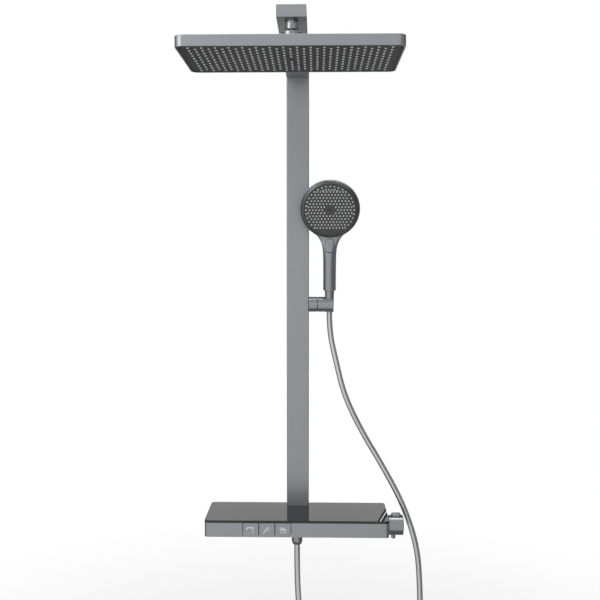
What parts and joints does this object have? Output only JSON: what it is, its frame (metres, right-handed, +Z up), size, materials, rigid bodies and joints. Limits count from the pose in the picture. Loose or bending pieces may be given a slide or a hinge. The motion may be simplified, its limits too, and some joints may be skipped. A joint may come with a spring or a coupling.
{
  "type": "rain shower system",
  "caption": "Wall-hung shower set: glass-topped shelf mixer with push keys, flat column and arm, rectangular rain head on a ball joint, round hand shower on a tilting holder, hose and spout.",
  "frame": {"origin": "on the finished wall, midway between the hot and cold inlet", "axes": "+Z up, +Y into the wall, +X to the right seen from the front"},
  "size_m": [0.482, 0.6026, 1.4697],
  "materials": {
    "gunmetal": "satin gun grey",
    "black_glass": "polished black",
    "seal": "matt",
    "brass": "machined",
    "zinc": "plated",
    "steel": "plain",
    "dark_face": "matt",
    "slip": "matt",
    "hose": "silver grey"
  },
  "bodies": {
    "frame": {"shelf_body": "gunmetal", "glass_gasket": "seal", "glass_top": "black_glass", "valve_spout": "brass", "valve_hand": "brass", "valve_rain": "brass", "valve_manifold": "brass", "inlet_nipple_left": "brass", "inlet_nipple_right": "brass", "inlet_nut_left": "zinc", "inlet_nut_right": "zinc", "thermostat_cartridge": "brass", "knob_ring": "gunmetal", "hose_outlet": "brass", "hose_nut_lower": "gunmetal", "spout_pivot": "brass", "spout_clip": "steel", "column_foot": "zinc", "riser_column": "gunmetal", "shower_arm": "gunmetal", "arm_cap": "gunmetal", "riser_pipe": "steel", "wall_bracket": "gunmetal", "bracket_screw": "steel", "ball_stem": "gunmetal", "holder_base": "gunmetal", "holder_pin": "steel", "hose_lower": "hose"},
    "head_swivel": {"ball_liner": "slip"},
    "rain_head": {"head_collar": "gunmetal", "ball_seat": "slip", "head_shell": "gunmetal", "head_face": "dark_face", "head_plug": "dark_face"},
    "holder": {"holder_cradle": "gunmetal", "friction_washer": "seal"},
    "handset": {"handset_shell": "gunmetal", "handset_face": "dark_face", "handset_screw": "dark_face", "hose_nut_upper": "gunmetal", "hose_upper": "hose"},
    "mode_button": {"mode_button": "gunmetal"},
    "key_spout": {"key_spout": "gunmetal"},
    "key_hand": {"key_hand": "gunmetal"},
    "key_rain": {"key_rain": "gunmetal"},
    "knob": {"temperature_knob": "gunmetal", "knob_stud": "gunmetal", "knob_cap": "gunmetal"},
    "stop_button": {"stop_button": "gunmetal"},
    "spout": {"spout_arm": "gunmetal", "spout_aerator": "dark_face"}
  },
  "joints": [
    {"name": "head_turn", "type": "hinge", "parent": "frame", "child": "head_swivel", "pos_m": [0, -0.5086, 0.9542], "axis": [0, 0, 1], "continuous": true},
    {"name": "head_tilt", "type": "hinge", "parent": "head_swivel", "child": "rain_head", "pos_m": [0, -0.5086, 0.9542], "axis": [1, 0, 0], "range_deg": [-12, 12]},
    {"name": "holder_tilt", "type": "hinge", "parent": "frame", "child": "holder", "pos_m": [0.0715, -0.0586, 0.4817], "axis": [1, 0, 0], "range_deg": [-6, 35], "deforming": ["hose_lower", "hose_upper"]},
    {"name": "handset_lift", "type": "slide", "parent": "holder", "child": "handset", "axis": [0, -0.1564, 0.9877], "range_m": [0, 0.08], "deforming": ["hose_lower", "hose_upper"]},
    {"name": "mode_press", "type": "slide", "parent": "handset", "child": "mode_button", "axis": [0, 0.9877, 0.1564], "range_m": [0, 0.0015], "stiffness_N_per_m": 1500},
    {"name": "key_spout_press", "type": "slide", "parent": "frame", "child": "key_spout", "axis": [0, 1, 0], "range_m": [0, 0.004], "stiffness_N_per_m": 1200},
    {"name": "key_hand_press", "type": "slide", "parent": "frame", "child": "key_hand", "axis": [0, 1, 0], "range_m": [0, 0.004], "stiffness_N_per_m": 1200},
    {"name": "key_rain_press", "type": "slide", "parent": "frame", "child": "key_rain", "axis": [0, 1, 0], "range_m": [0, 0.004], "stiffness_N_per_m": 1200},
    {"name": "knob_turn", "type": "hinge", "parent": "frame", "child": "knob", "pos_m": [0.2016, -0.134, 0], "axis": [1, 0, 0], "range_deg": [-135, 135]},
    {"name": "stop_press", "type": "slide", "parent": "knob", "child": "stop_button", "axis": [0, 0, -1], "range_m": [0, 0.0025], "stiffness_N_per_m": 1500},
    {"name": "spout_swing", "type": "hinge", "parent": "frame", "child": "spout", "pos_m": [-0.06, -0.1076, -0.0214], "axis": [0, 0, 1], "range_deg": [0, 95]}
  ]
}
